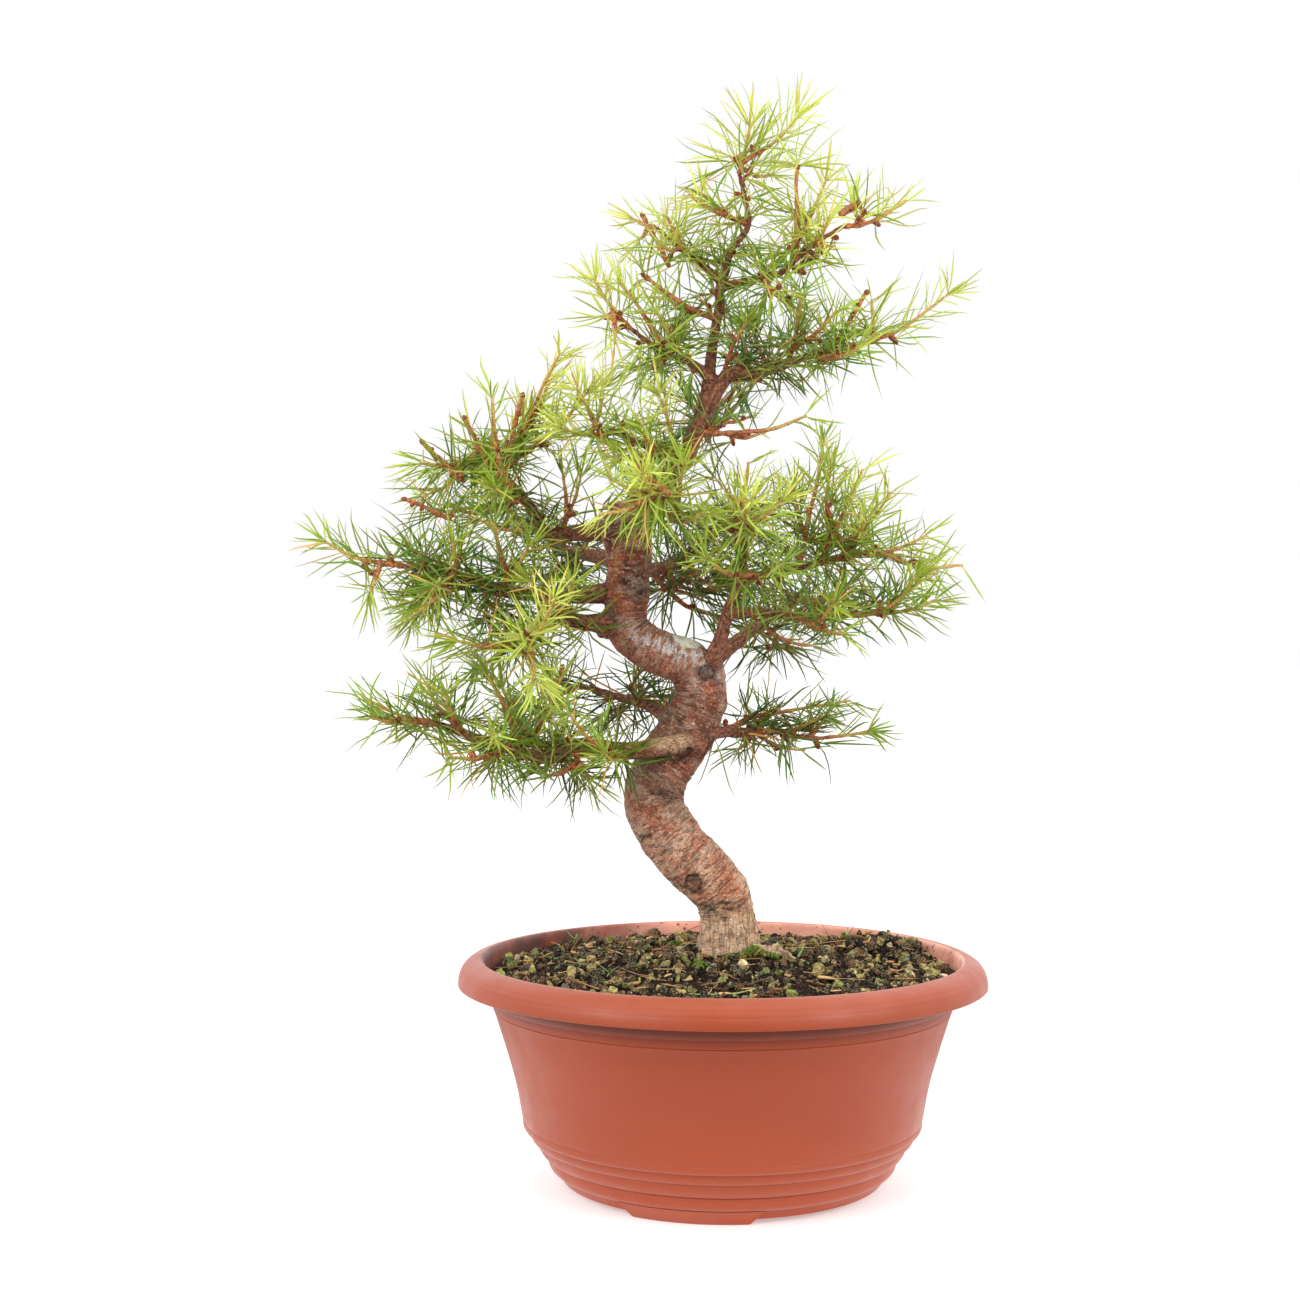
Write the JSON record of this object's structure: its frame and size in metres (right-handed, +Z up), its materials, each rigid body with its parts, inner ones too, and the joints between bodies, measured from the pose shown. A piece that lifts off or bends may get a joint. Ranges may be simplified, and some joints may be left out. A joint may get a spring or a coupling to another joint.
{
  "type": "larch bonsai in a training bowl",
  "caption": "Young larch grown as an informal bonsai: a twice-bent trunk, a thin leader and soft needle sprays, in a round rimmed plastic bowl of granular soil.",
  "frame": {"origin": "middle of the bounding box in X and Y, level with the undersides of the three feet", "axes": "+Z up along the height of the tree, -Y towards its front, +X to the right of the front view"},
  "size_m": [0.4194, 0.3136, 0.6338],
  "materials": {
    "bowl_plastic": "satin",
    "soil_mix": "matte",
    "bark": "matte",
    "needles_dark": "satin",
    "needles_leaf": "satin",
    "needles_new": "satin"
  },
  "bodies": {
    "root": {"pot": "bowl_plastic", "soil": "soil_mix", "wood": "bark", "spray_low_left_1": "needles_new", "spray_low_left_2": "needles_leaf", "spray_low_left_3": "needles_leaf", "spray_low_left_4": "needles_new", "spray_low_left_5": "needles_dark", "spray_low_left_6": "needles_leaf", "spray_low_left_7": "needles_dark", "spray_low_right_1": "needles_leaf", "spray_low_right_2": "needles_leaf", "spray_low_back_1": "needles_dark", "spray_low_back_2": "needles_dark", "spray_left_mid_1": "needles_new", "spray_left_mid_2": "needles_leaf", "spray_left_mid_3": "needles_leaf", "spray_left_long_1": "needles_new", "spray_left_long_2": "needles_leaf", "spray_left_long_3": "needles_leaf", "spray_left_long_4": "needles_leaf", "spray_left_long_5": "needles_dark", "spray_left_top_1": "needles_leaf", "spray_left_top_2": "needles_new", "spray_left_top_3": "needles_leaf", "spray_left_top_4": "needles_leaf", "spray_left_back_1": "needles_dark", "spray_left_back_2": "needles_dark", "spray_shoulder_1": "needles_new", "spray_shoulder_2": "needles_leaf", "spray_upper_left_1": "needles_new", "spray_upper_left_2": "needles_leaf", "spray_crown_left_1": "needles_new", "spray_crown_left_2": "needles_new", "spray_crown_right_1": "needles_new", "spray_crown_right_2": "needles_new", "spray_crown_right_3": "needles_new", "spray_crown_right_4": "needles_leaf", "spray_upper_right_1": "needles_new", "spray_upper_right_2": "needles_leaf", "spray_upper_right_3": "needles_leaf", "spray_upper_right_4": "needles_dark", "spray_upper_back_1": "needles_dark", "spray_front_1": "needles_new", "spray_front_2": "needles_leaf", "spray_knee_rise_1": "needles_new", "spray_knee_rise_2": "needles_leaf", "spray_knee_right_1": "needles_dark", "spray_knee_right_2": "needles_dark", "spray_right_low_1": "needles_leaf", "spray_right_low_2": "needles_leaf", "spray_right_mid_1": "needles_new", "spray_right_mid_2": "needles_leaf", "spray_right_mid_3": "needles_new", "spray_right_back_1": "needles_dark", "spray_right_back_2": "needles_dark", "spray_leader_1": "needles_new", "spray_leader_2": "needles_new", "spray_leader_3": "needles_leaf", "spray_leader_4": "needles_leaf"}
  },
  "joints": []
}
